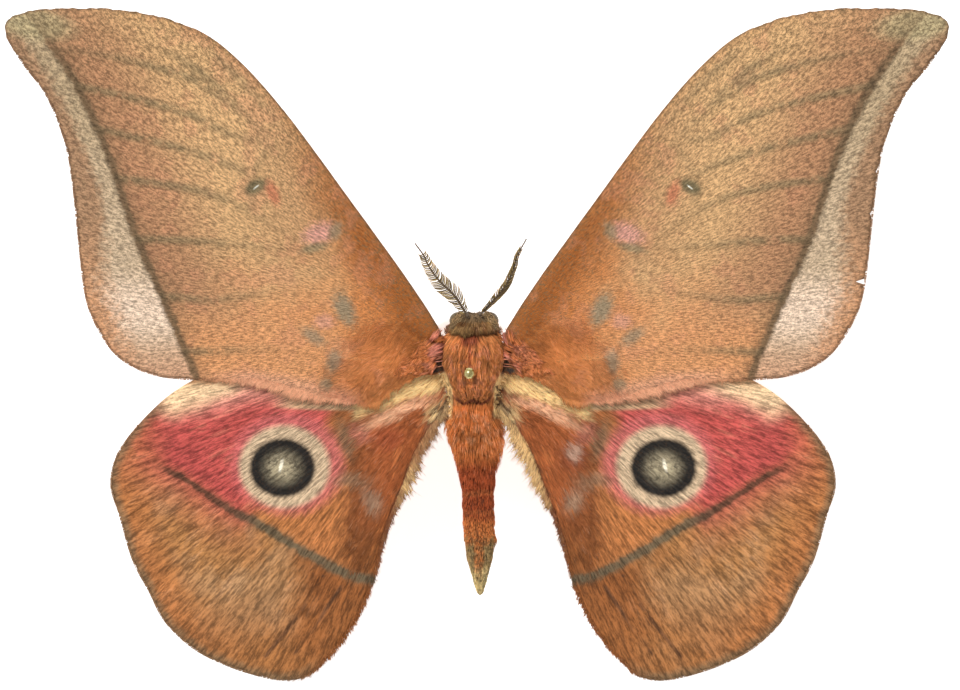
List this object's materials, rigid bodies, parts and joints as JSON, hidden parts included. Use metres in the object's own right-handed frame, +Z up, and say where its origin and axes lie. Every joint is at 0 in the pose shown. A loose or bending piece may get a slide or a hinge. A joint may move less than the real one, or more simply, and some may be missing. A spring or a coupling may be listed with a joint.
{
  "type": "pinned emperor moth specimen",
  "caption": "Spread emperor moth, a still life-size museum specimen on an insect pin in a small round display base.",
  "frame": {"origin": "centre of the display base's underside, on the plane of the body's middle", "axes": "+Z up towards the moth's back and the pin's head, +Y towards the moth's head, +X towards its right wings"},
  "size_m": [0.1446, 0.1035, 0.041],
  "materials": {
    "forewing_scales": "matte",
    "hindwing_scales": "matte",
    "thorax_fur": "matte",
    "collar_fur": "matte",
    "head_fur": "matte",
    "shoulder_fur": "matte",
    "abdomen_fur": "matte",
    "leg_fur": "matte",
    "antenna": "satin",
    "eye": "gloss",
    "brass": "polished",
    "pale_base": "matte"
  },
  "bodies": {
    "root": {"head": "head_fur", "eye_left": "eye", "eye_right": "eye", "palp_left": "head_fur", "palp_right": "head_fur", "antenna_left": "antenna", "antenna_right": "antenna", "collar": "collar_fur", "thorax": "thorax_fur", "metathorax": "thorax_fur", "abdomen": "abdomen_fur", "tegula_left": "shoulder_fur", "tegula_right": "shoulder_fur", "forewing_left": "forewing_scales", "forewing_right": "forewing_scales", "hindwing_left": "hindwing_scales", "hindwing_right": "hindwing_scales", "leg_fore_left": "leg_fur", "leg_fore_right": "leg_fur", "leg_mid_left": "leg_fur", "leg_mid_right": "leg_fur", "leg_hind_left": "leg_fur", "leg_hind_right": "leg_fur", "pin": "brass", "stand_base": "pale_base"}
  },
  "joints": []
}
